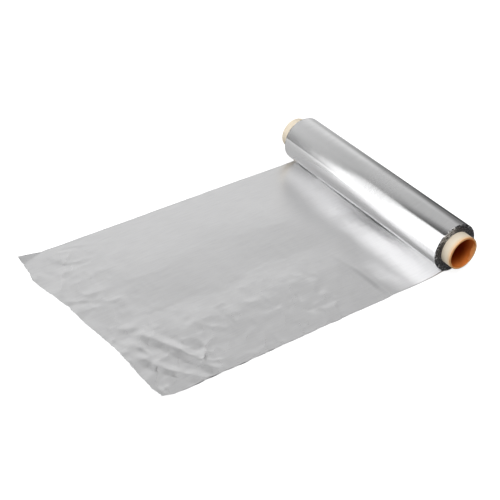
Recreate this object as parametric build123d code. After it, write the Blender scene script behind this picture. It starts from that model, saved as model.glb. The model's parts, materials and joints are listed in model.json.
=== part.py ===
from build123d import *
import math
import os

# Aluminium foil roll
# A part-used roll of kitchen foil on a board core that stands proud at both ends.
# The roll lies on its side with its axis along Y, and the web comes off its bottom and runs
# towards -X over the surface. Millimetres, +Z up, the surface at z = 0. The model is built with
# the roll's axis at x = 0 and mid-width at y = 0, and is then moved so that the origin is the
# middle of its footprint. The near end, which shows its turns and the loose ply, is the -Y end.

# Web and winding
foil_width = 300.0
wound_thickness = 9.55
winding_clearance = 0.05
# The real web is 0.015 mm thick and has some 500 turns, so both are drawn coarser here.
web_thickness = 0.3
turn_pitch = 1.4
turn_ridge = 0.7
turn_proud = 0.4
outer_turns = 0.6

# Core
core_bore = 38.1
board_wall = 1.7
glue_line = 0.05
cover_ply_thickness = 0.3
near_overhang = 13.9
far_overhang = 19.3
cover_setback = 0.5
rim_softening = 0.3

# Inner ply that has sprung off the bore's wall at the near rim: it still holds along its root, and its
# free edge stands out into the bore. Angles are seen from the far end, from the web's side upwards.
# Over that length the mouth is also worn a little wider than the bore.
mouth_wear = 0.2
inner_ply_thickness = 0.4
ply_relief = 0.1
sprung_ply_length = 16.0
sprung_ply_root = 285.0
sprung_ply_arc = 115.0
sprung_ply_curl = 1.4

# Unrolled length, measured out from the roll's axis
sheet_reach = 423.0
lead_out = 14.0
point_spacing = 6.5
station_spacing = 13.0
ease_in_length = 20.0

# Torn free end from the near edge to the far edge: (share across the web, how far short of the reach).
# The first points are the clipped near corner. The last two are the ends of the far corner's crease.
torn_end = [
    (0.0, 57.0),
    (0.004, 42.0),
    (0.013, 29.0),
    (0.07, 26.0),
    (0.20, 24.0),
    (0.32, 23.5),
    (0.42, 19.0),
    (0.51, 15.5),
    (0.60, 13.5),
    (0.617, 14.5),
    (0.64, 12.0),
    (0.72, 7.0),
    (0.79, 3.0),
    (0.84, 0.0),
    (0.89, 3.0),
    (0.962, 4.0),
    (1.0, 33.0),
]

# Far corner, turned up about that crease
flap_corner_short = 1.5
flap_angle = 35.0

# Folds and swells: (out, share) of both ends, height and half width
folds = [
    ((86.0, 0.00), (102.0, 0.33), 2.2, 9.0),
    ((110.0, 0.00), (121.0, 0.31), 1.2, 9.0),
    ((40.0, 0.10), (62.0, 0.45), 1.4, 20.0),
    ((369.0, 0.30), (350.0, 0.21), 1.6, 10.0),
    ((350.0, 0.21), (333.0, 0.09), 2.2, 10.0),
    ((333.0, 0.09), (318.0, 0.00), 1.6, 10.0),
    ((300.0, 0.13), (282.0, 0.22), 1.2, 12.0),
    ((205.0, 0.09), (226.0, 0.20), 1.3, 13.0),
    ((250.0, 0.12), (262.0, 0.24), 1.0, 13.0),
    ((378.0, 0.86), (352.0, 0.80), 1.2, 12.0),
    ((395.0, 0.52), (330.0, 0.60), 0.9, 26.0),
    ((180.0, 0.72), (240.0, 0.66), 0.9, 30.0),
]

# Sizes that follow
bore_radius = core_bore / 2
board_radius = bore_radius + board_wall
cover_inner_radius = board_radius + glue_line
core_radius = cover_inner_radius + cover_ply_thickness
wound_inner_radius = core_radius + winding_clearance
roll_radius = wound_inner_radius + wound_thickness
near_edge = -foil_width / 2
far_edge = foil_width / 2
core_near_end = near_edge - near_overhang
core_far_end = far_edge + far_overhang


def section(y):
    """The roll's cross-section at y: first axis out along the web, second axis up, facing +Y."""
    return Plane(origin=(0, y, 0), x_dir=(-1, 0, 0), z_dir=(0, 1, 0))


def tube(inner, outer, start, end):
    """A tube round the roll's axis from y = start to y = end."""
    ring = Pos(0, roll_radius) * (Circle(outer) - Circle(inner))
    return extrude(section(start) * ring, amount=end - start)


def on_sheet(out, share):
    """The place on the surface that lies out from the axis and at a share across the web."""
    return Vector(-out, near_edge + share * foil_width, 0)


def arc_band(centre, radius, thickness, root, arc):
    """A curved strip of even thickness that runs back from its root angle."""
    inner = CenterArc(centre, radius, root - arc, arc)
    outer = CenterArc(centre, radius + thickness, root - arc, arc)
    ends = [Line(inner @ 0, outer @ 0), Line(inner @ 1, outer @ 1)]
    return make_face(Curve() + [inner, outer] + ends)


def sprung_ply():
    """The loose inner ply: at the rim it curls tighter than the bore, and it dies back to the wall."""
    root = math.radians(sprung_ply_root)
    profiles = []
    for y, curl in ((core_near_end, sprung_ply_curl), (core_near_end + sprung_ply_length, 0.0)):
        radius = bore_radius - curl
        centre = (curl * math.cos(root), roll_radius + curl * math.sin(root))
        arc = sprung_ply_arc * bore_radius / radius
        profiles.append(section(y) * arc_band(centre, radius, inner_ply_thickness, sprung_ply_root, arc))
    return loft(profiles, ruled=True)


def ply_pocket():
    """The bare wall behind the loose ply."""
    depth = inner_ply_thickness + ply_relief
    bare = arc_band((0, roll_radius), bore_radius, depth, sprung_ply_root, sprung_ply_arc)
    return extrude(section(core_near_end) * bare, amount=sprung_ply_length)


def worn_mouth():
    """The near mouth of the bore, which widens evenly from where the loose ply starts to the rim."""
    upwards = (Align.CENTER, Align.CENTER, Align.MIN)
    mouth = Cone(bore_radius + mouth_wear, bore_radius, sprung_ply_length, align=upwards)
    return section(core_near_end) * Pos(0, roll_radius) * mouth


def make_core_tube():
    """Board tube with a softened far mouth, and a worn near mouth where the inner ply has sprung loose."""
    board = tube(bore_radius, board_radius, core_near_end, core_far_end)
    far_rims = board.edges().filter_by(GeomType.CIRCLE).group_by(Axis.Y)[-1]
    board = chamfer(far_rims.sort_by(SortBy.RADIUS)[0], rim_softening)
    return board - worn_mouth() - ply_pocket() + sprung_ply()


def make_core_cover_ply():
    """The cream paper ply round the board, a little short of both rims."""
    return tube(cover_inner_radius, core_radius, core_near_end + cover_setback, core_far_end - cover_setback)


def spiral_arcs(first_radius, turns):
    """A spiral of half circles about two centres, which starts and ends below the axis."""
    step = turn_pitch / 2
    arcs = []
    for half in range(2 * turns):
        radius = first_radius + half * step
        offset = -step / 2 if half % 2 else step / 2
        start = 90 if half % 2 else -90
        arcs.append(CenterArc((0, roll_radius + offset), radius, start, 180))
    return arcs


def turn_ridges():
    """The spiral band of turns that stands proud on both end faces and runs out into the outer turns."""
    last = roll_radius - outer_turns / 2 - turn_ridge
    turns = math.floor((last - wound_inner_radius) / turn_pitch)
    first_radius = last - turns * turn_pitch + turn_pitch / 4
    inner = spiral_arcs(first_radius, turns)
    outer = spiral_arcs(first_radius + turn_ridge, turns)
    start = Line(inner[0] @ 0, outer[0] @ 0)
    end = Line(inner[-1] @ 1, outer[-1] @ 1)
    band = make_face(Curve() + inner + [end] + outer + [start])
    return extrude(section(near_edge) * band, amount=foil_width)


def outer_turns_and_lead_out():
    """The outer turns as one ring, whose bottom runs out tangent to the surface as the web."""
    meets_at = math.degrees(math.acos(1 - web_thickness / roll_radius))
    ring = CenterArc((0, roll_radius), roll_radius, meets_at - 90, 360 - meets_at)
    web = Polyline(ring @ 1, (lead_out, 0), (lead_out, web_thickness), ring @ 0)
    profile = make_face(Curve() + [ring, web]) - Pos(0, roll_radius) * Circle(roll_radius - outer_turns)
    return extrude(section(near_edge) * profile, amount=foil_width)


def wound_turns():
    """The wound part: packed turns, the spiral ridges on both ends, the outer turns and the lead-out."""
    packed_radius = roll_radius - outer_turns / 2
    packed = tube(wound_inner_radius, packed_radius, near_edge + turn_proud, far_edge - turn_proud)
    return outer_turns_and_lead_out() + packed + turn_ridges()


def rise(out, across):
    """Height of the web's underside: each fold is a rounded ridge along its line."""
    height = 0.0
    for (out_a, share_a), (out_b, share_b), top, half_width in folds:
        ax, ay = out_a, share_a * foil_width
        bx, by = out_b, share_b * foil_width
        px, py = out - ax, across - ay
        dx, dy = bx - ax, by - ay
        along = min(1.0, max(0.0, (px * dx + py * dy) / (dx * dx + dy * dy)))
        away = math.hypot(px - along * dx, py - along * dy)
        height += top * math.exp(-((away / half_width) ** 2))
    ease = min(1.0, (out - lead_out) / ease_in_length)
    return height * ease * ease * (3 - 2 * ease)


def reach_at(share):
    """How far out the torn end lies at a share across the web."""
    for (share_a, short_a), (share_b, short_b) in zip(torn_end, torn_end[1:]):
        if share <= share_b:
            along = (share - share_a) / (share_b - share_a)
            return sheet_reach - short_a - along * (short_b - short_a)
    return sheet_reach - torn_end[-1][1]


def web_section(share):
    """The closed section of the unrolled web at one station, from the lead-out to the torn end."""
    length = reach_at(share) - lead_out
    spans = math.ceil((sheet_reach - lead_out) / point_spacing)
    outs = [lead_out + length * i / spans for i in range(spans + 1)]
    under = [on_sheet(out, share) + Vector(0, 0, rise(out, share * foil_width)) for out in outs]
    over = [point + Vector(0, 0, web_thickness) for point in under]
    bottom = Edge.make_spline(under)
    top = Edge.make_spline(over[::-1])
    return Wire([bottom, Edge.make_line(under[-1], over[-1]), top, Edge.make_line(over[0], under[0])])


def stations():
    """Shares across the web: each point of the tear, and even steps that keep clear of those."""
    step = station_spacing / foil_width
    tear = [share for share, _ in torn_end]
    even = [i * step for i in range(1, math.ceil(1 / step))]
    clear = [share for share in even if min(abs(share - point) for point in tear) > step / 3]
    return sorted(tear + clear)


def sheet():
    """The unrolled web: a ruled loft through stations across it."""
    return Solid.make_loft([web_section(share) for share in stations()], ruled=True)


def corner_flap():
    """The far corner of the web, turned up about its crease."""
    (share, short), (_, edge_short) = torn_end[-2:]
    crease_start = on_sheet(sheet_reach - short, share)
    crease_end = on_sheet(sheet_reach - edge_short, 1)
    corner = on_sheet(sheet_reach - flap_corner_short, 1)
    outline = make_face(Polyline(crease_start, crease_end, corner, close=True))
    flap = extrude(outline, amount=web_thickness, dir=(0, 0, 1))
    return flap.rotate(Axis(crease_start, crease_end - crease_start), flap_angle)


def make_foil():
    """The whole web as one solid."""
    return wound_turns() + sheet() + corner_flap()


os.makedirs("parts", exist_ok=True)
footprint_middle = Vector((roll_radius - sheet_reach) / 2, (core_near_end + core_far_end) / 2, 0)
pieces = {
    "foil": make_foil,
    "core_tube": make_core_tube,
    "core_cover_ply": make_core_cover_ply,
}
for name, make in pieces.items():
    export_step(Pos(-footprint_middle) * make(), f"parts/{name}.step")
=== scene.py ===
"""Aluminium foil roll: the looks of a part-used roll with a torn, creased length unrolled before it."""

import json
import math

import bpy
import numpy as np
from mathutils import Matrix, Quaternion, Vector


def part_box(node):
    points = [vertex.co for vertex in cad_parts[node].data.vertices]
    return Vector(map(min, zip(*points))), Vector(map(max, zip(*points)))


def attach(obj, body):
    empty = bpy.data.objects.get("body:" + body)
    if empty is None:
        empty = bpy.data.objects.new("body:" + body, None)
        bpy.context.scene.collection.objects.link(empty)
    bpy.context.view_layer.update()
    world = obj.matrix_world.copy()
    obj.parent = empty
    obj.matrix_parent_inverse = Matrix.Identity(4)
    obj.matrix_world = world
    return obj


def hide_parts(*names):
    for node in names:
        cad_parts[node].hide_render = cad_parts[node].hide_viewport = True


bl_info = {
    "name": "Aluminium foil roll",
    "version": (1, 0, 0),
    "blender": (4, 5, 0),
    "location": "3D View > Sidebar > Foil Roll",
    "description": "Builds the wound foil, its unrolled length, the board core and the studio round them",
    "category": "Add Mesh",
}

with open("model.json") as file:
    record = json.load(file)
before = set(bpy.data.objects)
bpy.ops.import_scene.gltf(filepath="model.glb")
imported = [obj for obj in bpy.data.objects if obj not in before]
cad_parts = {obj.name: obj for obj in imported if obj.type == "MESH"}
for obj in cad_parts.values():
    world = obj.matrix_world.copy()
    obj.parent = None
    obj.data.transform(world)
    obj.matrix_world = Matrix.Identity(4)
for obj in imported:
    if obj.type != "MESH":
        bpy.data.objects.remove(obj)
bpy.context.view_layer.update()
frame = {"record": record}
MM = 0.001
FULL_TURN = 2 * math.pi
SHEET_ROWS, SHEET_COLUMNS = 255, 190
SKIN, NEAR_FACE, FAR_FACE, BORE_WALL = range(4)
CUT_BOARD = (0.84, 0.46, 0.20)
# Painted light: the loose ply's board, a paler copy of the board colour for the light the ply catches at the
# mouth
LIT_PLY_BOARD = (0.86, 0.34, 0.11)
GLUE_LINE = 0.05 * MM

# Sizes read from the frame, in metres
FOIL_LOW, FOIL_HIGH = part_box("foil")
BOARD_LOW, BOARD_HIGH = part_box("core_tube")
COVER_LOW, COVER_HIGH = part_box("core_cover_ply")
ROLL_RADIUS = FOIL_HIGH[2] / 2
AXIS_X = FOIL_HIGH[0] - ROLL_RADIUS
AXIS_Z = ROLL_RADIUS
REACH = AXIS_X - FOIL_LOW[0]
NEAR, FAR = FOIL_LOW[1], FOIL_HIGH[1]
FOIL_WIDTH = FAR - NEAR
BOARD_RADIUS = (BOARD_HIGH[0] - BOARD_LOW[0]) / 2
COVER_RADIUS = (COVER_HIGH[0] - COVER_LOW[0]) / 2
BORE = next(m for m in frame["record"]["mounts"] if m["name"] == "core_bore")
BORE_RADIUS = BORE["dims"]["r_mm"] * MM

# Torn end from the near edge to the far edge: (share across the web, mm short of the full reach)
TEAR = (
    (0.0, 57.0), (0.004, 42.0), (0.013, 29.0), (0.07, 26.0), (0.20, 24.0), (0.32, 23.5), (0.42, 19.0),
    (0.51, 15.5), (0.60, 13.5), (0.617, 14.5), (0.64, 12.0), (0.72, 7.0), (0.79, 3.0), (0.84, 0.0),
    (0.89, 3.0), (0.962, 4.0), (1.0, 1.5),
)
# Crease that the far corner turns up about: (mm short of the reach, share across) of both ends
FLAP_CREASE = ((4.0, 0.962), (33.0, 1.0))
# Creases: a line of (mm out from the axis, mm in from the near edge), its heights in mm, and how far each
# side slopes down in mm, first the side towards the roll, then the side towards the tear
CREASES = (
    (((90, -2), (93.5, 28), (97, 56), (101, 82), (104, 104)), (1.3, 3.1, 2.4, 0.7, 0.0), 32.0, 8.0),
    (((104, -2), (107, 32), (110, 62), (113, 80)), (-0.5, -0.8, -0.6, 0.0), 5.0, 9.0),
    (((366, 96), (351, 69), (340, 38), (332, 23), (327, 10), (319, -3)), (0.8, 2.5, 3.1, 2.9, 2.1, 0.5),
     13.0, 10.0),
    (((384, 74), (379, 48), (363, 24), (343, 3), (338, -3)), (0.0, 1.6, 2.1, 1.6, 0.5), 12.0, 8.0),
    (((331, 25), (322, 33), (311, 31)), (0.9, 0.8, 0.0), 4.0, 5.0),
    (((330, 24), (316, 17), (300, 15)), (0.5, 0.6, 0.0), 5.0, 5.0),
    (((331, 25), (318, 42), (301, 50), (296, 62)), (0.5, 0.8, 0.7, 0.0), 6.0, 7.0),
    (((306, 82), (292, 66), (283, 58), (270, 60)), (0.3, 0.7, 0.6, 0.0), 9.0, 9.0),
    (((281, 22), (268, 34), (250, 40), (238, 52)), (0.3, 0.5, 0.4, 0.0), 9.0, 9.0),
    (((226, 22), (215, 40), (214, 66)), (0.3, 0.6, 0.0), 10.0, 9.0),
    (((196, 14), (188, 40), (190, 72)), (0.3, 0.6, 0.0), 11.0, 12.0),
    (((165, 8), (158, 36), (150, 64)), (0.3, 0.5, 0.0), 10.0, 12.0),
    (((372, 295), (374, 284), (380, 262), (391, 238)), (0.2, 0.6, 0.6, 0.0), 7.0, 7.0),
    (((374, 284), (360, 279), (345, 282)), (0.3, 0.5, 0.0), 6.0, 6.0),
    (((377, 262), (360, 256), (344, 261)), (0.4, 0.6, 0.0), 7.0, 6.0),
    (((366, 274), (377, 262)), (0.5, 0.5), 5.0, 5.0),
    (((369, 292), (350, 287), (331, 281)), (0.2, 0.6, 0.2), 7.0, 7.0),
    (((404, 194), (390, 186), (376, 177)), (0.6, 0.5, 0.1), 8.0, 6.0),
    (((372, 222), (352, 226), (334, 220)), (0.1, 0.4, 0.1), 10.0, 8.0),
    (((371, 120), (360, 104), (366, 96)), (0.2, 0.5, 0.6), 10.0, 12.0),
)
# Loose ply's lift off the bore's wall as a share of its greatest: (degrees from +X upwards, share)
PLY_LIFTS = ((14, 0.0), (8, 0.12), (-1, 0.75), (-8, 1.0), (-24, 1.0), (-32, 0.6), (-40, 0.18), (-52, 0.0))
# Height of the web over the floor along lines across it: (mm in from the near edge, mm high)
SWELL = ((-5, 0.1), (35, 1.3), (78, 2.9), (100, 2.45), (122, 2.1), (152, 3.1), (188, 3.8), (215, 3.5),
         (305, 0.6))
# Where that swell starts and where it is full, in mm out from the axis; the springy hump just off the roll;
# and the broad ridge beyond it: (mm in from the near edge, starts, full, hump's height, where the hump ends,
# ridge's height)
LEAD_OUT = ((0, 52, 120, 2.2, 43, 0.0), (8, 52, 120, 3.0, 43, 0.0), (20, 52, 120, 3.3, 43, 0.1),
            (60, 52, 120, 3.4, 43, 0.6), (85, 40, 110, 2.8, 46, 1.0), (110, 34, 100, 1.7, 50, 1.4),
            (135, 34, 100, 0.6, 54, 0.9), (160, 34, 105, 0.2, 54, 0.0), (185, 32, 118, 0.9, 50, 0.0),
            (215, 30, 132, 2.0, 46, 0.0), (245, 30, 145, 2.4, 43, 0.0), (270, 30, 145, 1.7, 43, 0.0),
            (300, 30, 145, 0.4, 43, 0.0))


class FoilSettings(bpy.types.PropertyGroup):
    """Sizes and colours of the web."""

    bright: bpy.props.FloatVectorProperty(
        name="Bright side", description="Reflected colour of the polished side",
        subtype="COLOR", size=3, min=0, max=1, default=(0.90, 0.90, 0.905))
    matt: bpy.props.FloatVectorProperty(
        name="Matt side", description="Reflected colour of the side that was rolled against another web",
        subtype="COLOR", size=3, min=0, max=1, default=(0.90, 0.90, 0.905))
    edges: bpy.props.FloatVectorProperty(
        name="Turn edges", description="Colour of the packed edges on the ends of the roll",
        subtype="COLOR", size=3, min=0, max=1, default=(0.045, 0.045, 0.05))
    thickness: bpy.props.FloatProperty(
        name="Thickness", description="Drawn thickness of the unrolled web",
        unit="LENGTH", min=0.00001, default=0.03 * MM)
    flap_angle: bpy.props.FloatProperty(
        name="Corner flap", description="How far the far corner is turned up",
        subtype="ANGLE", min=0, max=math.pi, default=math.radians(35))
    crumple: bpy.props.FloatProperty(
        name="Crumple", description="Strength of the creases in the unrolled web", min=0, default=1.0)


class CoreSettings(bpy.types.PropertyGroup):
    """Sizes and colours of the core."""

    board: bpy.props.FloatVectorProperty(
        name="Board", description="Colour of the bare board at the rims and in the bore",
        subtype="COLOR", size=3, min=0, max=1, default=(0.80, 0.24, 0.05))
    paper: bpy.props.FloatVectorProperty(
        name="Cover paper", description="Colour of the cream outer ply",
        subtype="COLOR", size=3, min=0, max=1, default=(0.82, 0.725, 0.58))
    stained: bpy.props.FloatVectorProperty(
        name="Stained paper", description="Colour of the cover's near edge, where the board shows through",
        subtype="COLOR", size=3, min=0, max=1, default=(0.84, 0.55, 0.29))
    ply_length: bpy.props.FloatProperty(
        name="Loose ply", description="How far into the bore the loose inner ply reaches",
        unit="LENGTH", min=0, default=3.2 * MM)
    ply_lift: bpy.props.FloatProperty(
        name="Ply lift", description="How far the loose ply stands off the wall",
        unit="LENGTH", min=0, default=2.4 * MM)


class StageSettings(bpy.types.PropertyGroup):
    """Camera and light."""

    azimuth: bpy.props.FloatProperty(
        name="Azimuth", description="Camera's direction round the object",
        subtype="ANGLE", default=math.radians(-33.915))
    elevation: bpy.props.FloatProperty(
        name="Elevation", description="Camera's height above the horizon",
        subtype="ANGLE", default=math.radians(36.612))
    distance: bpy.props.FloatProperty(
        name="Distance", description="Camera's distance from the point it looks at",
        unit="LENGTH", min=0.1, default=1.27814)
    look_at: bpy.props.FloatVectorProperty(
        name="Look at", description="Point on the floor at the middle of the picture",
        subtype="TRANSLATION", size=3, default=(0.01830, 0.01136, 0.0))
    lens: bpy.props.FloatProperty(
        name="Lens", description="Focal length on a 36 mm sensor", unit="CAMERA", min=1, default=76.0)
    softbox: bpy.props.FloatProperty(
        name="Softbox", description="Brightness of the softbox on the left", min=0, default=1.25)
    glow: bpy.props.FloatProperty(
        name="Backdrop", description="Brightness of the lit backdrop at its middle", min=0, default=0.72)
    overhead: bpy.props.FloatProperty(
        name="Overhead", description="Brightness of the overhead light", min=0, default=4.2)
    fill: bpy.props.FloatProperty(
        name="Fill", description="Brightness of the low fill light on the left", min=0, default=3.2)


def lattice_noise(u, v, cells, seed, wrap=False):
    """Smooth noise from -1 to 1: random heights on a lattice of cells, blended by 3t^2 - 2t^3 along u and v.

    With wrap, the last lattice line along u repeats the first, so that the noise closes round a cylinder."""
    count_u, count_v = cells
    heights = np.random.default_rng(seed).uniform(-1, 1, (count_u + 1, count_v + 1))
    if wrap:
        heights[-1] = heights[0]
    x = np.clip(u, 0, 1) * count_u
    y = np.clip(v, 0, 1) * count_v
    i = np.minimum(x.astype(int), count_u - 1)
    j = np.minimum(y.astype(int), count_v - 1)
    s = x - i
    t = y - j
    s = s * s * (3 - 2 * s)
    t = t * t * (3 - 2 * t)
    low = heights[i, j] * (1 - s) + heights[i + 1, j] * s
    high = heights[i, j + 1] * (1 - s) + heights[i + 1, j + 1] * s
    return low * (1 - t) + high * t


def smooth_step(low, high, value):
    """0 below low, 1 above high, and 3t^2 - 2t^3 between."""
    t = np.clip((value - low) / (high - low), 0, 1)
    return t * t * (3 - 2 * t)


def quads(rows, columns, close_rows=False, close_columns=False, flip=False):
    """Corner numbers of a grid's quads, which may close on itself either way."""
    i = np.arange(rows if close_rows else rows - 1)
    j = np.arange(columns if close_columns else columns - 1)
    i, j = np.meshgrid(i, j, indexing="ij")
    i_next = (i + 1) % rows
    j_next = (j + 1) % columns
    around = [i * columns + j, i_next * columns + j, i_next * columns + j_next, i * columns + j_next]
    corners = np.stack(around[::-1] if flip else around, axis=-1)
    return corners.reshape(-1, 4)


def make_piece(name, points, faces, materials, face_materials=None, uv=None, smooth=None):
    """A mesh object at the origin, from arrays of points, quads, material numbers and UVs, and a flag for
    each quad that says whether it is smooth."""
    mesh = bpy.data.meshes.new(name)
    mesh.vertices.add(len(points))
    mesh.vertices.foreach_set("co", points.astype(np.float32).ravel())
    mesh.loops.add(faces.size)
    mesh.loops.foreach_set("vertex_index", faces.astype(np.int32).ravel())
    mesh.polygons.add(len(faces))
    mesh.polygons.foreach_set("loop_start", np.arange(0, faces.size, 4, dtype=np.int32))
    mesh.polygons.foreach_set("loop_total", np.full(len(faces), 4, dtype=np.int32))
    mesh.update(calc_edges=True)
    mesh.polygons.foreach_set("use_smooth", np.ones(len(faces), dtype=bool) if smooth is None else smooth)
    for finish in materials:
        mesh.materials.append(finish)
    if face_materials is not None:
        mesh.polygons.foreach_set("material_index", face_materials.astype(np.int32))
    if uv is not None:
        layer = mesh.uv_layers.new(name="along")
        layer.data.foreach_set("uv", uv[faces.ravel()].astype(np.float32).ravel())
    mesh.validate()
    piece = bpy.data.objects.new(name, mesh)
    bpy.context.collection.objects.link(piece)
    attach(piece, "root")
    return piece


def slab(upper, lower):
    """One closed shell from two grids of the same shape: both faces and the four strips that join them.

    Gives points, quads and a mark: 0 on the upper face, 1 on the lower and 2 on the strips."""
    rows, columns = upper.shape[:2]
    points = np.concatenate([upper.reshape(-1, 3), lower.reshape(-1, 3)])
    shift = rows * columns
    top = quads(rows, columns)
    bottom = quads(rows, columns, flip=True) + shift
    corner = np.arange(shift).reshape(rows, columns)
    strips = []
    edges = ((corner[0], True), (corner[-1], False), (corner[:, 0], False), (corner[:, -1], True))
    for line, turned in edges:
        strip = np.stack([line[:-1], line[:-1] + shift, line[1:] + shift, line[1:]], axis=-1)
        strips.append(strip[:, ::-1] if turned else strip)
    sizes = len(top), len(bottom), sum(map(len, strips))
    return points, np.concatenate([top, bottom] + strips), np.repeat([0, 1, 2], sizes)


def around_axis(angle, radius, along):
    """Points round the roll's axis: angle is 0 towards +X and a quarter turn upwards."""
    x = AXIS_X + radius * np.cos(angle)
    z = AXIS_Z + radius * np.sin(angle)
    return np.stack(np.broadcast_arrays(x, along, z), axis=-1)


def grids(rows, columns):
    """Two parameters from 0 to 1 on a grid, the first down the rows."""
    return np.meshgrid(np.linspace(0, 1, rows), np.linspace(0, 1, columns), indexing="ij")


# Materials
def new_material(name):
    """The node tree and the Principled shader of a new material."""
    made = bpy.data.materials.new(name)
    made.use_nodes = True
    tree = made.node_tree
    tree.nodes.clear()
    shader = tree.nodes.new("ShaderNodeBsdfPrincipled")
    output = tree.nodes.new("ShaderNodeOutputMaterial")
    tree.links.new(shader.outputs["BSDF"], output.inputs["Surface"])
    return tree, shader


def material(name):
    """A finished material by name."""
    return bpy.data.materials[name]


def feed(tree, socket, value):
    """Links a socket into an input, or sets the input to a value."""
    if isinstance(value, bpy.types.NodeSocket):
        tree.links.new(value, socket)
    else:
        socket.default_value = value


def add_node(tree, kind, **values):
    """A node with its settings, and its named inputs fed with values or sockets."""
    node = tree.nodes.new(kind)
    for key, value in values.items():
        if hasattr(node, key):
            setattr(node, key, value)
        else:
            feed(tree, node.inputs[key.replace("_", " ")], value)
    return node


def number(tree, operation, *values):
    """The result of a Math node on values or sockets."""
    node = add_node(tree, "ShaderNodeMath", operation=operation)
    for socket, value in zip(node.inputs, values):
        feed(tree, socket, value)
    return node.outputs[0]


def vector(tree, operation, *values):
    """The result of a Vector Math node on values or sockets: a number for a length or a dot product."""
    node = add_node(tree, "ShaderNodeVectorMath", operation=operation)
    for socket, value in zip(node.inputs, values):
        feed(tree, socket, value)
    return node.outputs["Value" if operation in ("LENGTH", "DOT_PRODUCT") else "Vector"]


def fade(tree, value, start, end, low=0.0, high=1.0, blend="SMOOTHSTEP"):
    """Spreads a socket's values from start to end over low to high."""
    node = add_node(tree, "ShaderNodeMapRange", interpolation_type=blend)
    for socket, given in zip(node.inputs, (value, start, end, low, high)):
        feed(tree, socket, given)
    return node.outputs["Result"]


def vary(tree, value, low, high):
    """Spreads a 0 to 1 socket evenly over low to high."""
    return fade(tree, value, 0.0, 1.0, low, high, "LINEAR")


def blend_colours(tree, factor, first, second):
    """A colour mix of two colours, each a value or a socket, by a factor socket."""
    mix = add_node(tree, "ShaderNodeMix", data_type="RGBA")
    for place, value in ((0, factor), (6, first), (7, second)):
        feed(tree, mix.inputs[place], (*value, 1.0) if isinstance(value, tuple) else value)
    return mix.outputs[2]


def shaded(colour, *shares):
    """A colour times one share, or times a share for each of red, green and blue."""
    return tuple(share * c for share, c in zip(shares * 3, colour))


def object_axes(tree):
    """Object coordinates as sockets named X, Y and Z."""
    place = add_node(tree, "ShaderNodeTexCoord")
    return add_node(tree, "ShaderNodeSeparateXYZ", Vector=place.outputs["Object"]).outputs


def new_group(name, **inputs):
    """A shader node group with number inputs, which puts out a mask and a height."""
    group = bpy.data.node_groups.new(name, "ShaderNodeTree")
    for label, value in inputs.items():
        socket = group.interface.new_socket(name=label, in_out="INPUT", socket_type="NodeSocketFloat")
        socket.default_value = value
    for label in ("Mask", "Height"):
        group.interface.new_socket(name=label, in_out="OUTPUT", socket_type="NodeSocketFloat")
    return group, group.nodes.new("NodeGroupInput"), group.nodes.new("NodeGroupOutput")


def scaled_position(group, start, *labels):
    """Object coordinates divided by the group's inputs that give a size along X, Y and Z."""
    place = add_node(group, "ShaderNodeTexCoord")
    sizes = {axis: start.outputs[label] for axis, label in zip("XYZ", labels)}
    size = add_node(group, "ShaderNodeCombineXYZ", **sizes)
    return vector(group, "DIVIDE", place.outputs["Object"], size.outputs[0])


def rolling_streaks_group():
    """Fine lines that the rolling mill leaves along the web: noise drawn out along it."""
    group, start, end = new_group("rolling streaks", Length=0.02, Spacing=0.001, Rise=0.02)
    position = scaled_position(group, start, "Length", "Spacing", "Rise")
    fine = add_node(group, "ShaderNodeTexNoise", Vector=position, Scale=1.0, Detail=3.0, Roughness=0.6)
    group.links.new(fade(group, fine.outputs["Fac"], 0.35, 0.75), end.inputs["Mask"])
    group.links.new(fine.outputs["Fac"], end.inputs["Height"])


def fibres_group():
    """Paper fibres: short crossing strands as a height, and soft cloudy patches as a mask."""
    group, start, end = new_group("fibres", Strand=0.0012, Cloud=0.006)
    strands = scaled_position(group, start, "Strand", "Strand", "Strand")
    clouds = scaled_position(group, start, "Cloud", "Cloud", "Cloud")
    fibre = add_node(group, "ShaderNodeTexNoise", Vector=strands, Scale=1.0, Detail=6.0, Roughness=0.7,
                     Distortion=1.5)
    cloud = add_node(group, "ShaderNodeTexNoise", Vector=clouds, Scale=1.0, Detail=3.0, Roughness=0.5)
    group.links.new(cloud.outputs["Fac"], end.inputs["Mask"])
    group.links.new(fibre.outputs["Fac"], end.inputs["Height"])


def place_group(tree, name, **values):
    """The outputs of a shared group, placed with its inputs set."""
    return add_node(tree, "ShaderNodeGroup", node_tree=bpy.data.node_groups[name], **values).outputs


def add_bump(tree, shader, height, strength, distance):
    """A bump of a height socket into the shader's normal."""
    bump = add_node(tree, "ShaderNodeBump", Strength=strength, Distance=distance, Height=height)
    tree.links.new(bump.outputs["Normal"], shader.inputs["Normal"])


def rubbed_mask(tree, centre, reach):
    """1 on top of the roll at the middle of a rubbed stretch along Y, 0 beyond its reach and low down."""
    axes = object_axes(tree)
    away = number(tree, "ABSOLUTE", number(tree, "SUBTRACT", axes["Y"], centre))
    beside = fade(tree, away, 0.2 * reach, reach, 1.0, 0.0)
    return number(tree, "MULTIPLY", beside, fade(tree, axes["Z"], 1.25 * ROLL_RADIUS, 1.6 * ROLL_RADIUS))


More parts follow.
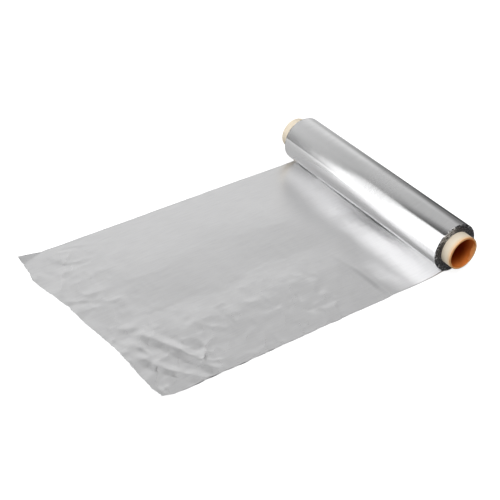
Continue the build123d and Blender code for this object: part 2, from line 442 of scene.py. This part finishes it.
def foil_material(name, colour, shade, roughness, run, spacing, bump, anisotropy, rubbed=None):
    """Rolled aluminium: mirror-like along the web and smeared across it by its rolling lines.

    The lines are as long as a run and a spacing apart, and dull the colour to a shade of itself. Where it is
    rubbed, (middle, half length) along Y, scratches that run with the web roughen it."""
    tree, shader = new_material(name)
    shader.inputs["Metallic"].default_value = 1.0
    shader.inputs["Anisotropic"].default_value = anisotropy
    tangent = add_node(tree, "ShaderNodeTangent", direction_type="UV_MAP", uv_map="along")
    tree.links.new(tangent.outputs["Tangent"], shader.inputs["Tangent"])
    lines = place_group(tree, "rolling streaks", Length=run, Spacing=spacing, Rise=run)
    dulled = blend_colours(tree, lines["Mask"], colour, shaded(colour, shade))
    tree.links.new(dulled, shader.inputs["Base Color"])
    rough = vary(tree, lines["Mask"], *roughness)
    height = lines["Height"]
    if rubbed:
        where = rubbed_mask(tree, *rubbed)
        scratches = place_group(tree, "rolling streaks", Length=30 * MM, Spacing=1.1 * MM, Rise=30 * MM)
        depth = number(tree, "MULTIPLY", scratches["Height"], where)
        height = number(tree, "MULTIPLY_ADD", depth, 9.0, height)
        rough = number(tree, "MULTIPLY_ADD", where, 0.15, rough)
    tree.links.new(rough, shader.inputs["Roughness"])
    add_bump(tree, shader, height, 1.0, bump)


def turn_edges_material(colour):
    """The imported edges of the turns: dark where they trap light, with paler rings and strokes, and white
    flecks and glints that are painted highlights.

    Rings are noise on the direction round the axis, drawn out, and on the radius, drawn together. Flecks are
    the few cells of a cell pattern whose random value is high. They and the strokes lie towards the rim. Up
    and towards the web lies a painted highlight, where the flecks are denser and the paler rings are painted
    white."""
    tree, shader = new_material("turn_edges")
    place = add_node(tree, "ShaderNodeTexCoord").outputs["Object"]
    from_axis = vector(tree, "SUBTRACT", place, (AXIS_X, 0, AXIS_Z))
    flat = vector(tree, "MULTIPLY", from_axis, (1, 0, 1))
    radius = vector(tree, "LENGTH", flat)
    heading = vector(tree, "NORMALIZE", flat)
    # Painted highlight: 1 on the part of the end face up and towards the web, 0 elsewhere.
    highlit_sector = fade(tree, vector(tree, "DOT_PRODUCT", heading, (-0.5, 0.0, 0.866)), 0.86, 1.0)

    def polar_noise(round_scale, across_scale, detail):
        """Noise on the heading and the radius, each drawn by a scale of its own."""
        drawn = add_node(tree, "ShaderNodeVectorMath", operation="SCALE", Vector=heading, Scale=round_scale)
        ring = add_node(tree, "ShaderNodeCombineXYZ", Y=number(tree, "MULTIPLY", radius, across_scale))
        both = vector(tree, "ADD", drawn.outputs[0], ring.outputs[0])
        return add_node(tree, "ShaderNodeTexNoise", Vector=both, Scale=1.0, Detail=detail,
                        Roughness=0.6).outputs["Fac"]

    rings = polar_noise(9.0, 1500.0, 3.0)
    strokes = polar_noise(55.0, 650.0, 2.0)
    pale = fade(tree, rings, 0.42, 0.70)
    outer = fade(tree, radius, ROLL_RADIUS - 5 * MM, ROLL_RADIUS - 0.5 * MM)
    worn = number(tree, "MULTIPLY", fade(tree, strokes, 0.58, 0.72), outer)
    cells = add_node(tree, "ShaderNodeTexVoronoi", Vector=place, Scale=760.0)
    chance = add_node(tree, "ShaderNodeSeparateColor", Color=cells.outputs["Color"])
    # Painted highlight: the flecks, white spots that stand for glints, are likelier up and towards the web.
    likely = number(tree, "MULTIPLY_ADD", highlit_sector, 0.30, chance.outputs[0])
    flecks = number(tree, "MULTIPLY", fade(tree, likely, 0.90, 0.92, blend="LINEAR"), outer)
    # Painted highlight: the paler rings up and towards the web are painted white as glints.
    glints = number(tree, "MULTIPLY", pale, highlit_sector)
    for mask, paint in ((pale, (0.30, 0.30, 0.31)), (glints, (0.95, 0.95, 0.95)), (worn, (0.62, 0.62, 0.63)),
                        (flecks, (0.95, 0.95, 0.95))):
        colour = blend_colours(tree, mask, colour, paint)
    tree.links.new(colour, shader.inputs["Base Color"])
    # The painted flecks and glints are not metal, so the lamps light them white.
    bare = number(tree, "MAXIMUM", flecks, glints)
    tree.links.new(vary(tree, bare, 0.8, 0.1), shader.inputs["Metallic"])
    tree.links.new(vary(tree, rings, 0.55, 0.30), shader.inputs["Roughness"])
    add_bump(tree, shader, strokes, 1.0, 0.5 * MM)


def ends_mask(tree, low, high, depth, inset, both=True):
    """1 at both ends of a piece along Y, or at its near end alone, from an inset outwards, and 0 deeper in
    than a depth."""
    from_middle = number(tree, "SUBTRACT", object_axes(tree)["Y"], (low + high) / 2)
    distance = number(tree, "ABSOLUTE", from_middle) if both else number(tree, "MULTIPLY", from_middle, -1.0)
    half = (high - low) / 2
    return fade(tree, distance, half - depth, half - inset)


def board_material(name, colour):
    """Core board: fibres and darker clouds; painted shade deeper in the bore, which makes the board darker
    and browner from 2 mm in from either end and fully from 19 mm in; and a paler cut at both rims."""
    tree, shader = new_material(name)
    shader.inputs["Roughness"].default_value = 0.9
    shader.inputs["Specular IOR Level"].default_value = 0.0
    fibres = place_group(tree, "fibres", Strand=0.9 * MM, Cloud=7 * MM)
    body = blend_colours(tree, fibres["Mask"], shaded(colour, 0.72), shaded(colour, 1.15))
    # Painted shade: 1 at the mouths and 0 from 19 mm in, where the board takes the darker, browner colour.
    lit_mouth = ends_mask(tree, BOARD_LOW[1], BOARD_HIGH[1], 19 * MM, 2 * MM)
    body = blend_colours(tree, lit_mouth, shaded(colour, 0.62, 0.36, 0.15), body)
    cut = ends_mask(tree, BOARD_LOW[1], BOARD_HIGH[1], 0.7 * MM, 0.1 * MM)
    tree.links.new(blend_colours(tree, cut, body, CUT_BOARD), shader.inputs["Base Color"])
    add_bump(tree, shader, fibres["Height"], 0.6, 0.25 * MM)


def paper_material(colour, stained):
    """Cream cover paper, browner over its last 6 mm at the near edge, where the board shows through."""
    tree, shader = new_material("cream_paper")
    shader.inputs["Roughness"].default_value = 0.75
    shader.inputs["Specular IOR Level"].default_value = 0.15
    fibres = place_group(tree, "fibres", Strand=0.8 * MM, Cloud=9 * MM)
    soft = blend_colours(tree, fibres["Mask"], shaded(colour, 0.93), colour)
    edge = ends_mask(tree, COVER_LOW[1], COVER_HIGH[1], 6 * MM, -1 * MM, both=False)
    tree.links.new(blend_colours(tree, edge, soft, stained), shader.inputs["Base Color"])
    add_bump(tree, shader, fibres["Height"], 0.35, 0.1 * MM)


def make_materials(scene):
    """All materials, once."""
    foil, core = scene.foil_roll_foil, scene.foil_roll_core
    rolling_streaks_group()
    fibres_group()
    foil_material("bright_foil", tuple(foil.bright), shade=0.93, roughness=(0.10, 0.16), run=14 * MM,
                  spacing=0.9 * MM, bump=0.002 * MM, anisotropy=0.75, rubbed=(-32 * MM, 62 * MM))
    foil_material("matt_foil", tuple(foil.matt), shade=0.95, roughness=(0.32, 0.38), run=26 * MM,
                  spacing=1.5 * MM, bump=0.016 * MM, anisotropy=0.3)
    turn_edges_material(tuple(foil.edges))
    board_material("brown_board", tuple(core.board))
    # Painted light: a paler copy of the board for the loose ply, lit as it stands off the wall at the mouth.
    board_material("lit_ply_board", LIT_PLY_BOARD)
    paper_material(tuple(core.paper), tuple(core.stained))


# Foil
def skin_radius(turn, along):
    """Radius of the outer turn: the roll's, less a few hundredths of a millimetre of slow waves."""
    slow = lattice_noise(turn, along, (9, 12), 11, wrap=True)
    long = lattice_noise(turn, along, (5, 4), 12, wrap=True)
    return ROLL_RADIUS - MM * (0.05 + 0.018 * slow + 0.03 * long)


def edge_depth(turn, inward, seed):
    """How far in each turn's edge lies, in metres: rings of random depth over part of a turn, and nicks."""
    rings = lattice_noise(turn, inward, (14, 30), seed, wrap=True)
    fine = lattice_noise(turn, inward, (160, 44), seed + 1, wrap=True)
    broad = lattice_noise(turn, inward, (5, 3), seed + 2, wrap=True)
    nicks = smooth_step(0.62, 0.95, lattice_noise(turn, inward, (220, 8), seed + 3, wrap=True))
    return MM * (0.34 + 0.12 * rings + 0.07 * fine + 0.12 * broad + 0.5 * nicks * (1 - inward) ** 2)


def worn_rim(turn, inward):
    """How far the outer turns' edges are bent back, in metres: most at the skin, less inwards, unevenly."""
    uneven = 1 + 0.5 * lattice_noise(turn, inward, (90, 6), 36, wrap=True)
    uneven += 0.5 * lattice_noise(turn, inward, (260, 12), 37, wrap=True)
    return 0.5 * MM * uneven * np.clip(1 - inward / 0.2, 0, 1) ** 1.5


def wound_profile(skin_rows, end_rows, bore_rows):
    """The roll's section as one closed row: share from skin (0) to bore (1), share along, and which face."""
    inward = np.linspace(0, 1, end_rows)
    along = np.linspace(0, 1, skin_rows)
    back = np.linspace(1, 0, bore_rows + 2)[1:-1]
    near = np.stack([inward[::-1], np.zeros(end_rows), np.full(end_rows, NEAR_FACE)], axis=-1)
    skin = np.stack([np.zeros(skin_rows), along, np.full(skin_rows, SKIN)], axis=-1)
    far = np.stack([inward, np.ones(end_rows), np.full(end_rows, FAR_FACE)], axis=-1)
    bore = np.stack([np.ones(bore_rows), back, np.full(bore_rows, BORE_WALL)], axis=-1)
    return np.concatenate([near, skin, far, bore])


def make_wound_turns(scene):
    """The wound part: a closed surface round the axis, through near end, skin, far end and bore.

    The skin and the bore start a little in from both ends, and each end's outer fifth slopes back there."""
    around, skin_rows, end_rows, bore_rows = 640, 46, 44, 3
    skin_inset = 1.4 * MM
    profile = wound_profile(skin_rows, end_rows, bore_rows)
    turn, row = np.meshgrid(np.arange(around) / around, np.arange(len(profile)), indexing="ij")
    inward, along, face = (profile[row, k] for k in range(3))
    skin = skin_radius(turn, along)
    radius = skin - (skin - COVER_RADIUS - GLUE_LINE) * inward
    depth = np.where(face == NEAR_FACE, edge_depth(turn, inward, 31), edge_depth(turn, inward, 41))
    depth = depth + worn_rim(turn, inward)
    y = NEAR + skin_inset + along * (FOIL_WIDTH - 2 * skin_inset)
    y = np.where(face == NEAR_FACE, NEAR + depth, y)
    y = np.where(face == FAR_FACE, FAR - depth, y)
    points = around_axis(FULL_TURN * turn, radius, y).reshape(-1, 3)
    faces = quads(around, len(profile), close_rows=True, close_columns=True, flip=True)
    # A quad is skin only where both rows that it joins are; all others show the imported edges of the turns.
    packed = profile[:, 2] != SKIN
    marks = np.tile(packed | np.roll(packed, -1), around)
    uv = np.stack([y, turn * ROLL_RADIUS * FULL_TURN], axis=-1).reshape(-1, 2)
    skins = [material("bright_foil"), material("turn_edges")]
    piece = make_piece("wound_turns", points, faces, skins, marks, uv)
    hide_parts("foil")


def beside_line(x, y, line, values):
    """Signed distance of points from a line of points, and the line's value where they are nearest to it.

    The distance is positive on the side towards greater x. Values are blended along each run of the line."""
    nearest = np.full(x.shape, np.inf)
    signed = np.zeros(x.shape)
    value = np.zeros(x.shape)
    for (ax, ay), (bx, by), first, last in zip(line, line[1:], values, values[1:]):
        dx, dy = bx - ax, by - ay
        place = np.clip(((x - ax) * dx + (y - ay) * dy) / (dx * dx + dy * dy), 0, 1)
        away = np.hypot(x - ax - place * dx, y - ay - place * dy)
        side = np.where((x - ax) * abs(dy) - (y - ay) * dx * np.sign(dy or 1) > 0, 1, -1)
        closer = away < nearest
        nearest = np.where(closer, away, nearest)
        signed = np.where(closer, side * away, signed)
        value = np.where(closer, first + (last - first) * place, value)
    return signed, value


def crease_profile(distance, width):
    """A crease's side, 1 at 0 and 0 at width: a straight slope from a barely rounded crest that runs out
    smoothly."""
    t = np.clip(1 - np.hypot(distance, 0.05 * width) / width, 0, 1)
    return t * t * (1.9 - 0.9 * t)


def sheet_rise(out, across, crumple):
    """Height of the web over the floor in mm, at places in mm.

    It is the swell across the web, which dies away at the roll and towards the tear, with the springy hump
    where the web leaves the roll and the broad ridge beyond that; then the creases; then crumpled facets,
    where ridges are 1 - |noise| on a slanted lattice, by the near edge and the tear; and last fine lines
    along the web."""
    u, v = out / (REACH / MM), across / (FOIL_WIDTH / MM)
    waver = 7 * lattice_noise(u, v, (7, 3), 50) + 5 * lattice_noise(u, v, (25, 7), 52)
    waver += 2.2 * lattice_noise(u, v, (56, 15), 53)
    swell = np.interp(across + waver, *np.array(SWELL).T) * (1 + 0.3 * lattice_noise(u, v, (6, 3), 51))
    place, *columns = np.array(LEAD_OUT).T
    starts, full, hump, ends, ridge = (np.interp(across + 0.5 * waver, place, column) for column in columns)
    height = 0.05 + swell * smooth_step(starts, full, out) * (1 - 0.6 * smooth_step(300, 420, out))
    height += hump * np.minimum(smooth_step(6, 16, out), np.clip((ends - out) / (ends - 16), 0, 1) ** 1.8)
    height += ridge * smooth_step(14, 32, out) * smooth_step(112, 58, out)
    bend = 3.0 * lattice_noise(u, v, (26, 16), 54), 3.0 * lattice_noise(u, v, (26, 16), 55)
    for line, heights, roll_side, tear_side in CREASES:
        distance, top = beside_line(out + bend[0] * 0.5, across + bend[1] * 0.5, line, heights)
        width = np.where(distance > 0, tear_side, roll_side)
        height += crumple * top * crease_profile(np.abs(distance), width)
    near_part = smooth_step(150, 60, across) * smooth_step(95, 170, out)
    tear_part = smooth_step(270, 400, out)
    slant_u, slant_v = u + 0.18 * v, v - 0.12 * u + 0.12
    slant_u = slant_u + 0.012 * lattice_noise(u, v, (21, 15), 59)
    slant_v = slant_v + 0.016 * lattice_noise(u, v, (21, 15), 60)
    coarse = 1 - np.hypot(lattice_noise(slant_u / 1.2, slant_v / 1.15, (24, 13), 56), 0.16)
    medium = 1 - np.hypot(lattice_noise(slant_u / 1.2, slant_v / 1.15, (55, 27), 57), 0.22)
    height += crumple * (1.15 * coarse + 0.45 * medium) * (1.2 * near_part + tear_part + 0.05)
    lines = lattice_noise(u, v, (13, 85), 58)
    middle = smooth_step(90, 130, across) * smooth_step(215, 175, across)
    height += crumple * 0.035 * (1 + lines) * (0.35 + middle)
    return np.maximum(height, 0.0)


def tear_reach(share):
    """How far out the torn end lies, in mm: the tear's outline, less a fine ragged line."""
    shares, shorts = np.array(TEAR).T
    ragged = 0.35 * (1 + lattice_noise(share, 0 * share, (130, 1), 61))
    return REACH / MM - np.interp(share, shares, shorts) - ragged


def turn_up_corner(points, angle):
    """Turns the points beyond the far corner's crease up about it."""
    (short_a, share_a), (short_b, share_b) = FLAP_CREASE
    start = np.array([AXIS_X - REACH + short_a * MM, NEAR + share_a * FOIL_WIDTH, 0])
    end = np.array([AXIS_X - REACH + short_b * MM, NEAR + share_b * FOIL_WIDTH, 0])
    axis = (end - start) / np.linalg.norm(end - start)
    outward = np.array([-axis[1], axis[0], 0])
    beyond = (points - start) @ outward
    bend = 0.8 * MM
    turned = angle * smooth_step(0, bend, beyond)
    flat = np.maximum(beyond, 0)
    lifted = points - flat[..., None] * outward + flat[..., None] * (
        np.cos(turned)[..., None] * outward + np.sin(turned)[..., None] * np.array([0, 0, 1]))
    return np.where(beyond[..., None] > 0, lifted, points)


def make_unrolled_sheet(scene):
    """The unrolled web: a thin closed sheet from under the roll to the tear, its far corner turned up."""
    foil = scene.foil_roll_foil
    u, share = grids(SHEET_ROWS, SHEET_COLUMNS)
    out = u * tear_reach(share)
    across = share * FOIL_WIDTH / MM
    rise = sheet_rise(out, across, foil.crumple)
    lower = np.stack([AXIS_X - out * MM, NEAR + across * MM, rise * MM], axis=-1)
    upper = lower + np.array([0, 0, foil.thickness])
    lower = turn_up_corner(lower, foil.flap_angle)
    upper = turn_up_corner(upper, foil.flap_angle)
    points, faces, mark = slab(upper, lower)
    flat = np.stack([across * MM, out * MM], axis=-1).reshape(-1, 2)
    uv = np.concatenate([flat, flat])
    skins = [material("matt_foil"), material("bright_foil")]
    piece = make_piece("unrolled_sheet", points, faces, skins, np.where(mark == 1, 1, 0), uv, mark < 2)
    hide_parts("foil")


# Core
def tube_profile(inner, outer, near, far, rows, rim_rows):
    """A tube's section as one closed row of (radius, along), outside first.

    Rows lie close to both rims, so that their rounding of the shading stays narrow."""
    rim = np.linspace(0, 1, rim_rows + 2)[1:-1]
    support = 0.15 * MM
    along = np.concatenate([[near], np.linspace(near + support, far - support, rows - 2), [far]])
    outside = np.stack([np.full(rows, outer), along], axis=-1)
    far_rim = np.stack([outer + (inner - outer) * rim, np.full(rim_rows, far)], axis=-1)
    inside = np.stack([np.full(rows, inner), along[::-1]], axis=-1)
    near_rim = np.stack([inner + (outer - inner) * rim, np.full(rim_rows, near)], axis=-1)
    return np.concatenate([outside, far_rim, inside, near_rim])


def revolved_tube(profile, around, rough, seed):
    """A tube round the axis whose rims are ragged: near a rim the length falls short by smooth noise."""
    turn, row = np.meshgrid(np.arange(around) / around, np.arange(len(profile)), indexing="ij")
    radius, along = profile[row, 0], profile[row, 1]
    low, high = profile[:, 1].min(), profile[:, 1].max()
    share = (radius - profile[:, 0].min()) / np.ptp(profile[:, 0])
    ragged = rough * (0.5 + 0.5 * lattice_noise(turn, share, (70, 3), seed, wrap=True))
    to_near = np.exp(-(along - low) / (3 * rough))
    to_far = np.exp(-(high - along) / (3 * rough))
    along = along + ragged * to_near - ragged * to_far
    points = around_axis(FULL_TURN * turn, radius, along).reshape(-1, 3)
    return points, quads(around, len(profile), close_rows=True, close_columns=True, flip=True)


def loose_ply(core):
    """The inner ply that has buckled off the wall behind the near rim: fast along the rim, and loose along
    its inner edge. Its lift grows from the rim inwards as the 0.7th power, and round the bore it follows
    PLY_LIFTS."""
    u, v = grids(120, 16)
    thickness = 0.4 * MM
    first, last = PLY_LIFTS[0][0], PLY_LIFTS[-1][0]
    degrees = first + (last - first) * u
    hold = np.interp(-degrees, *np.array([(-d, h) for d, h in PLY_LIFTS]).T)
    wave = 1 + 0.10 * lattice_noise(u, v, (11, 2), 71)
    depth = core.ply_length * v * (1 + 0.12 * lattice_noise(u, 0 * v, (17, 1), 72))
    lift = 0.08 * MM + core.ply_lift * hold * wave * v ** 0.7
    angle = np.radians(degrees)
    near = BOARD_LOW[1] + 0.25 * MM
    inner = around_axis(angle, BORE_RADIUS - lift - thickness, near + depth)
    outer = around_axis(angle, BORE_RADIUS - lift, near + depth)
    points, faces, _ = slab(inner, outer)
    return points, faces


def make_core_tube(scene):
    """The board tube and its loose inner ply, in one piece."""
    profile = tube_profile(BORE_RADIUS, BOARD_RADIUS, BOARD_LOW[1], BOARD_HIGH[1], 50, 7)
    points, faces = revolved_tube(profile, 360, 0.22 * MM, 81)
    ply_points, ply_faces = loose_ply(scene.foil_roll_core)
    faces = np.concatenate([faces, ply_faces + len(points)])
    points = np.concatenate([points, ply_points])
    # The loose ply's faces take the paler copy of the board, which is painted light.
    torn = np.arange(len(faces)) >= len(faces) - len(ply_faces)
    piece = make_piece("board_tube", points, faces, [material("brown_board"), material("lit_ply_board")], torn)
    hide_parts("core_tube")


def make_cover_ply(scene):
    """The cream paper ply round the board, which reaches the rim at the far end."""
    far = BOARD_HIGH[1] - 0.1 * MM
    profile = tube_profile(BOARD_RADIUS + GLUE_LINE, COVER_RADIUS, COVER_LOW[1], far, 60, 2)
    points, faces = revolved_tube(profile, 300, 0.35 * MM, 91)
    piece = make_piece("cover_ply", points, faces, [material("cream_paper")])
    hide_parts("core_cover_ply")


# Stage
def aim(thing, direction):
    """Turns a light or camera so that its -Z axis points along a direction, with its Y axis upright."""
    thing.rotation_mode = "QUATERNION"
    thing.rotation_quaternion = Vector(direction).to_track_quat("-Z", "Y")


def add_softbox(name, middle, towards, size, radiance):
    """A rectangular light of a given radiance, which the camera doesn't see."""
    data = bpy.data.lights.new(name, "AREA")
    data.shape = "RECTANGLE"
    data.size, data.size_y = size
    data.energy = radiance * math.pi * size[0] * size[1]
    light = bpy.data.objects.new(name, data)
    light.location = middle
    aim(light, np.array(towards) - np.array(middle))
    light.visible_camera = False
    bpy.context.collection.objects.link(light)
    return light


def add_card(name, corners, paint):
    """A flat piece of the stage from its four corners, which throws no shadow."""
    mesh = bpy.data.meshes.new(name)
    mesh.from_pydata(corners, [], [(0, 1, 2, 3)])
    mesh.materials.append(paint)
    card = bpy.data.objects.new(name, mesh)
    card.visible_shadow = False
    bpy.context.collection.objects.link(card)
    return card


def add_floor():
    """A plain white floor. The camera sees it lit through; to the object it is a grey table, and the foil
    mirrors the studio's own grey in its place."""
    half = 6.0
    tree, shader = new_material("floor_white")
    shader.inputs["Base Color"].default_value = (0.45, 0.45, 0.45, 1)
    shader.inputs["Roughness"].default_value = 1.0
    shader.inputs["Specular IOR Level"].default_value = 0.0
    shader.inputs["Emission Color"].default_value = (1, 1, 1, 1)
    path = add_node(tree, "ShaderNodeLightPath")
    lit = number(tree, "MULTIPLY", path.outputs["Is Camera Ray"], 0.85)
    tree.links.new(lit, shader.inputs["Emission Strength"])
    corners = [(-half, -half, 0), (half, -half, 0), (half, half, 0), (-half, half, 0)]
    floor = add_card("floor", corners, material("floor_white"))
    floor.location = (0, 0, -0.1 * MM)
    floor.visible_glossy = False


def add_backdrop(brightness):
    """A lit backdrop behind the roll, which only shows in reflections: brightest low down, and darker to the
    left, high up and to the right."""
    y, left, right, top = 1.2, -1.6, 3.2, 2.8
    paint = bpy.data.materials.new("backdrop_glow")
    paint.use_nodes = True
    tree = paint.node_tree
    tree.nodes.clear()
    place = add_node(tree, "ShaderNodeTexCoord")
    strength = brightness
    # Each fade runs from start to end along a slope, in metres, from its first share to its last.
    for slope, start, end, first, last in (
            ((1.0, 0.0, 0.5), -1.3, 0.6, 0.2, 1.0),
            ((-0.9, 0.0, 1.0), 1.75, 2.45, 1.0, 0.13),
            ((0.0, 0.0, 1.0), 0.75, 1.5, 1.03, 0.68),
            ((1.0, 0.0, -0.5), 0.85, 1.85, 1.0, 0.28)):
        measure = vector(tree, "DOT_PRODUCT", place.outputs["Object"], slope)
        strength = number(tree, "MULTIPLY", strength, fade(tree, measure, start, end, first, last))
    glow = add_node(tree, "ShaderNodeEmission", Strength=strength)
    output = add_node(tree, "ShaderNodeOutputMaterial")
    tree.links.new(glow.outputs[0], output.inputs["Surface"])
    card = add_card("backdrop", [(left, y, 0), (right, y, 0), (right, y, top), (left, y, top)], paint)
    card.visible_camera = False


def add_world():
    """Soft grey surroundings, white where the camera looks at them, with flags that darken them: three low
    on the right, a paler one high on the right, and one at the near end."""
    world = bpy.data.worlds.new("studio")
    world.use_nodes = True
    tree = world.node_tree
    tree.nodes.clear()
    place = add_node(tree, "ShaderNodeTexCoord").outputs["Generated"]
    split = add_node(tree, "ShaderNodeSeparateXYZ", Vector=place)
    sky = add_node(tree, "ShaderNodeValToRGB", Fac=fade(tree, split.outputs["Z"], -1.0, 1.0, blend="LINEAR"))
    ramp = sky.color_ramp
    for element, grey in zip(ramp.elements, (0.50, 0.55)):
        element.color = (grey, grey, grey, 1)
    for position, grey in ((0.38, 0.52), (0.49, 0.60), (0.51, 0.60), (0.75, 0.50)):
        ramp.elements.new(position).color = (grey, grey, grey, 1)
    tone = sky.outputs["Color"]
    # Each flag fades to its grey towards its heading, between two cosines of the angle off it.
    for heading, start, end, grey in (
            ((0.84, 0.26, -0.47), 0.87, 0.95, 0.06), ((0.93, 0.36, -0.10), 0.925, 0.97, 0.06),
            ((0.70, -0.15, 0.70), 0.70, 0.95, 0.55), ((0.72, 0.35, -0.60), 0.92, 0.975, 0.33),
            ((0.0, -1.0, 0.0), 0.25, 0.75, 0.05)):
        flag = fade(tree, vector(tree, "DOT_PRODUCT", place, heading), start, end)
        tone = blend_colours(tree, flag, tone, (grey, grey, grey))
    soft = add_node(tree, "ShaderNodeBackground", Color=tone)
    white = add_node(tree, "ShaderNodeBackground", Color=(1, 1, 1, 1), Strength=1.1)
    path = add_node(tree, "ShaderNodeLightPath")
    choose = add_node(tree, "ShaderNodeMixShader", Fac=path.outputs["Is Camera Ray"])
    tree.links.new(soft.outputs[0], choose.inputs[1])
    tree.links.new(white.outputs[0], choose.inputs[2])
    output = add_node(tree, "ShaderNodeOutputWorld")
    tree.links.new(choose.outputs[0], output.inputs["Surface"])
    bpy.context.scene.world = world


def add_camera(stage):
    """The camera, placed round the point it looks at by azimuth, elevation and distance."""
    turn, rise = stage.azimuth, stage.elevation
    back = np.array([math.sin(turn) * math.cos(rise), -math.cos(turn) * math.cos(rise), math.sin(rise)])
    data = bpy.data.cameras.new("camera")
    data.lens = stage.lens
    data.sensor_width = 36.0
    camera = bpy.data.objects.new("camera", data)
    camera.location = np.array(stage.look_at) + stage.distance * back
    aim(camera, -back)
    bpy.context.collection.objects.link(camera)
    bpy.context.scene.camera = camera


def make_stage(scene):
    """Floor, backdrop, lights and camera, with plain tones."""
    stage = scene.foil_roll_stage
    add_floor()
    add_backdrop(stage.glow)
    add_world()
    # The softbox stands on edge: its near upright is at the left front, and its far one beside the backdrop.
    # It leans a little in its own plane, with its top to the right.
    near_upright, far_upright = np.array([-1.51, 0.33]), np.array([-0.905, 1.10])
    low, high = -0.57, 1.90
    lean = math.radians(7.4)
    middle = (near_upright + far_upright) / 2
    facing = np.array([far_upright[1] - near_upright[1], near_upright[0] - far_upright[0]])
    height = (low + high) / 2
    softbox = add_softbox("left_softbox", (*middle, height), (*(middle + facing), height),
                          (float(np.hypot(*facing)), high - low), stage.softbox)
    softbox.rotation_quaternion @= Quaternion((0, 0, 1), lean)
    # The other two light the board and the paper, and the foil doesn't mirror them.
    for name, middle, towards, side, radiance in (
            ("overhead", (-0.2, -0.6, 2.1), (0.15, -0.1, 0.0), 1.4, stage.overhead),
            ("left_fill", (-1.5, -0.55, 0.8), (0.2, -0.17, 0.03), 0.8, stage.fill)):
        light = add_softbox(name, middle, towards, (side, side), radiance)
        light.visible_glossy = False
    add_camera(stage)
    scene.view_settings.view_transform = "Standard"


class FOILROLL_OT_materials(bpy.types.Operator):
    """Make the materials of the foil, the board and the paper"""

    bl_idname = "foil_roll.materials"
    bl_label = "Materials"

    def execute(self, context):
        make_materials(context.scene)
        return {"FINISHED"}


class FOILROLL_OT_wound_turns(bpy.types.Operator):
    """Make the wound turns"""

    bl_idname = "foil_roll.wound_turns"
    bl_label = "Wound turns"

    def execute(self, context):
        make_wound_turns(context.scene)
        return {"FINISHED"}


class FOILROLL_OT_unrolled_sheet(bpy.types.Operator):
    """Make the unrolled length of web"""

    bl_idname = "foil_roll.unrolled_sheet"
    bl_label = "Unrolled sheet"

    def execute(self, context):
        make_unrolled_sheet(context.scene)
        return {"FINISHED"}


class FOILROLL_OT_core(bpy.types.Operator):
    """Make the board tube with its loose ply, and its cover ply"""

    bl_idname = "foil_roll.core"
    bl_label = "Core"

    def execute(self, context):
        make_core_tube(context.scene)
        make_cover_ply(context.scene)
        return {"FINISHED"}


class FOILROLL_OT_stage(bpy.types.Operator):
    """Make the floor, lights and camera"""

    bl_idname = "foil_roll.stage"
    bl_label = "Stage"

    def execute(self, context):
        make_stage(context.scene)
        return {"FINISHED"}


class FOILROLL_PT_panel(bpy.types.Panel):
    """Buttons for each piece, and the settings"""

    bl_label = "Foil Roll"
    bl_idname = "FOILROLL_PT_panel"
    bl_space_type = "VIEW_3D"
    bl_region_type = "UI"
    bl_category = "Foil Roll"

    def draw(self, context):
        for operator in OPERATORS:
            self.layout.operator(operator.bl_idname)
        for group in GROUPS:
            settings = getattr(context.scene, group)
            for name in settings.__annotations__:
                self.layout.prop(settings, name)


GROUPS = {
    "foil_roll_foil": FoilSettings,
    "foil_roll_core": CoreSettings,
    "foil_roll_stage": StageSettings,
}
OPERATORS = (
    FOILROLL_OT_materials,
    FOILROLL_OT_wound_turns,
    FOILROLL_OT_unrolled_sheet,
    FOILROLL_OT_core,
    FOILROLL_OT_stage,
)
CLASSES = (*GROUPS.values(), *OPERATORS, FOILROLL_PT_panel)


def register():
    """Adds the classes, and the settings to the scene."""
    for cls in CLASSES:
        bpy.utils.register_class(cls)
    for name, cls in GROUPS.items():
        setattr(bpy.types.Scene, name, bpy.props.PointerProperty(type=cls))


def unregister():
    """Takes the settings and the classes away again."""
    for name in GROUPS:
        delattr(bpy.types.Scene, name)
    for cls in reversed(CLASSES):
        bpy.utils.unregister_class(cls)


def main():
    """Builds everything in order."""
    register()
    bpy.ops.foil_roll.materials()
    bpy.ops.foil_roll.wound_turns()
    bpy.ops.foil_roll.unrolled_sheet()
    bpy.ops.foil_roll.core()
    bpy.ops.foil_roll.stage()


if __name__ == "__main__":
    main()
